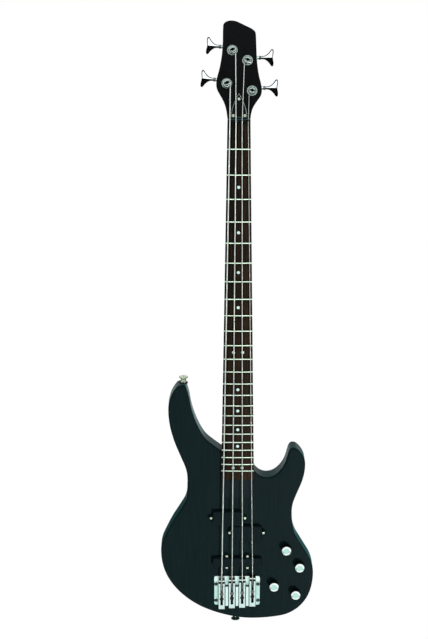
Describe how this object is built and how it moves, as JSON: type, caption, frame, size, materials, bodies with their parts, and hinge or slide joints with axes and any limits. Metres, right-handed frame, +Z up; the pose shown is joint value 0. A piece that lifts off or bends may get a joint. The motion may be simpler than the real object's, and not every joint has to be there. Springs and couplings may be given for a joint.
{
  "type": "electric bass guitar",
  "caption": "Electric bass guitar with a black double-cutaway body, bolt-on neck, dark fretboard, split and straight pickups, long sliding saddles and worm-geared tuners.",
  "frame": {"origin": "on the centre line, on the flat back of the body, level with the scale line at the bridge", "axes": "+X to the treble side, +Y out of the back of the body, +Z up the neck towards the headstock"},
  "size_m": [0.2874, 0.0641, 1.1313],
  "materials": {
    "body_finish": "satin black lacquer over open grain",
    "neck_finish": "gloss black lacquer",
    "dark_wood": "oiled dark wood",
    "fret_metal": "polished",
    "black_plastic": "satin",
    "pearl": "gloss",
    "chrome": "polished",
    "screw_steel": "plated",
    "black_screw": "blackened",
    "string_wire": "wound steel",
    "coil": "enamelled copper wire",
    "magnet": "plain",
    "foam": "matte",
    "pot_case": "plain",
    "board": "lacquered",
    "battery": "printed sleeve, bare of text",
    "felt": "felted"
  },
  "bodies": {
    "guitar": {"body": "body_finish", "neck": "neck_finish", "fretboard": "dark_wood", "frets": "fret_metal", "nut": "black_plastic", "position_dots": "pearl", "side_dots": "pearl", "truss_rod": "fret_metal", "truss_rod_cover": "black_plastic", "trim_screws": "screw_steel", "neck_screws": "screw_steel", "neck_ferrules": "chrome", "tuner_housings": "chrome", "tuner_plates": "chrome", "tuner_bushes": "chrome", "tuner_washers": "chrome", "string_e": "string_wire", "string_a": "string_wire", "string_d": "string_wire", "string_g": "string_wire", "bridge_plate": "chrome", "bridge_screws": "screw_steel", "split_pickup_covers": "black_plastic", "straight_pickup_cover": "black_plastic", "pickup_coils": "coil", "pickup_magnets": "magnet", "pickup_foam": "foam", "pickup_screws": "screw_steel", "pots": "pot_case", "pot_nuts": "chrome", "circuit_board": "board", "battery": "battery", "control_cover": "black_plastic", "output_jack": "chrome", "jack_nut": "chrome", "strap_buttons": "chrome", "strap_felts": "felt", "strap_screws": "screw_steel"},
    "tuner_key_e": {"tuner_key_e": "chrome"},
    "tuner_post_e": {"tuner_post_e": "chrome"},
    "saddle_e": {"saddle_e": "chrome", "saddle_screws_e": "black_screw"},
    "tuner_key_a": {"tuner_key_a": "chrome"},
    "tuner_post_a": {"tuner_post_a": "chrome"},
    "saddle_a": {"saddle_a": "chrome", "saddle_screws_a": "black_screw"},
    "tuner_key_d": {"tuner_key_d": "chrome"},
    "tuner_post_d": {"tuner_post_d": "chrome"},
    "saddle_d": {"saddle_d": "chrome", "saddle_screws_d": "black_screw"},
    "tuner_key_g": {"tuner_key_g": "chrome"},
    "tuner_post_g": {"tuner_post_g": "chrome"},
    "saddle_g": {"saddle_g": "chrome", "saddle_screws_g": "black_screw"},
    "volume_knob": {"volume_knob": "chrome"},
    "blend_knob": {"blend_knob": "chrome"},
    "bass_knob": {"bass_knob": "chrome"},
    "treble_knob": {"treble_knob": "chrome"},
    "truss_rod_nut": {"truss_rod_nut": "fret_metal"}
  },
  "joints": [
    {"name": "tuner_key_e_turn", "type": "hinge", "parent": "guitar", "child": "tuner_key_e", "pos_m": [-0.02066, -0.01033, 0.9302], "axis": [0.9962, -0.0166, -0.0856], "continuous": true},
    {"name": "tuner_post_e_turn", "type": "hinge", "parent": "guitar", "child": "tuner_post_e", "pos_m": [-0.0212, -0.03212, 0.92814], "axis": [0, -0.9816, 0.1908], "continuous": true, "deforming": ["string_e"]},
    {"name": "saddle_e_slide", "type": "slide", "parent": "guitar", "child": "saddle_e", "axis": [0, 0, 1], "range_m": [-0.003, 0.003], "deforming": ["string_e"]},
    {"name": "tuner_key_a_turn", "type": "hinge", "parent": "guitar", "child": "tuner_key_a", "pos_m": [-0.01106, 0.00057, 0.98627], "axis": [0.9962, -0.0166, -0.0856], "continuous": true},
    {"name": "tuner_post_a_turn", "type": "hinge", "parent": "guitar", "child": "tuner_post_a", "pos_m": [-0.0116, -0.02122, 0.98421], "axis": [0, -0.9816, 0.1908], "continuous": true, "deforming": ["string_a"]},
    {"name": "saddle_a_slide", "type": "slide", "parent": "guitar", "child": "saddle_a", "axis": [0, 0, 1], "range_m": [-0.003, 0.003], "deforming": ["string_a"]},
    {"name": "tuner_key_d_turn", "type": "hinge", "parent": "guitar", "child": "tuner_key_d", "pos_m": [0.01472, -0.00273, 0.96931], "axis": [1, 0, 0], "continuous": true},
    {"name": "tuner_post_d_turn", "type": "hinge", "parent": "guitar", "child": "tuner_post_d", "pos_m": [0.01472, -0.02452, 0.96723], "axis": [0, -0.9816, 0.1908], "continuous": true, "deforming": ["string_d"]},
    {"name": "saddle_d_slide", "type": "slide", "parent": "guitar", "child": "saddle_d", "axis": [0, 0, 1], "range_m": [-0.003, 0.003], "deforming": ["string_d"]},
    {"name": "tuner_key_g_turn", "type": "hinge", "parent": "guitar", "child": "tuner_key_g", "pos_m": [0.02272, -0.01276, 0.91769], "axis": [1, 0, 0], "continuous": true},
    {"name": "tuner_post_g_turn", "type": "hinge", "parent": "guitar", "child": "tuner_post_g", "pos_m": [0.02272, -0.03456, 0.91561], "axis": [0, -0.9816, 0.1908], "continuous": true, "deforming": ["string_g"]},
    {"name": "saddle_g_slide", "type": "slide", "parent": "guitar", "child": "saddle_g", "axis": [0, 0, 1], "range_m": [-0.003, 0.003], "deforming": ["string_g"]},
    {"name": "volume_knob_turn", "type": "hinge", "parent": "guitar", "child": "volume_knob", "pos_m": [0.09232, -0.04, 0.05873], "axis": [0, -1, 0], "range_deg": [-150, 150]},
    {"name": "blend_knob_turn", "type": "hinge", "parent": "guitar", "child": "blend_knob", "pos_m": [0.06974, -0.04, -0.0151], "axis": [0, -1, 0], "range_deg": [-150, 150]},
    {"name": "bass_knob_turn", "type": "hinge", "parent": "guitar", "child": "bass_knob", "pos_m": [0.11073, -0.04, -0.03187], "axis": [0, -1, 0], "range_deg": [-150, 150]},
    {"name": "treble_knob_turn", "type": "hinge", "parent": "guitar", "child": "treble_knob", "pos_m": [0.11763, -0.04, 0.02403], "axis": [0, -1, 0], "range_deg": [-150, 150]},
    {"name": "truss_rod_nut_turn", "type": "hinge", "parent": "guitar", "child": "truss_rod_nut", "pos_m": [0, -0.0352, 0.8816], "axis": [0, 0, 1], "range_deg": [-180, 180]}
  ],
  "couplings": [
    {"joint": "tuner_post_e_turn", "follows": "tuner_key_e_turn", "ratio": 0.055556},
    {"joint": "tuner_post_a_turn", "follows": "tuner_key_a_turn", "ratio": 0.055556},
    {"joint": "tuner_post_d_turn", "follows": "tuner_key_d_turn", "ratio": 0.055556},
    {"joint": "tuner_post_g_turn", "follows": "tuner_key_g_turn", "ratio": 0.055556}
  ]
}
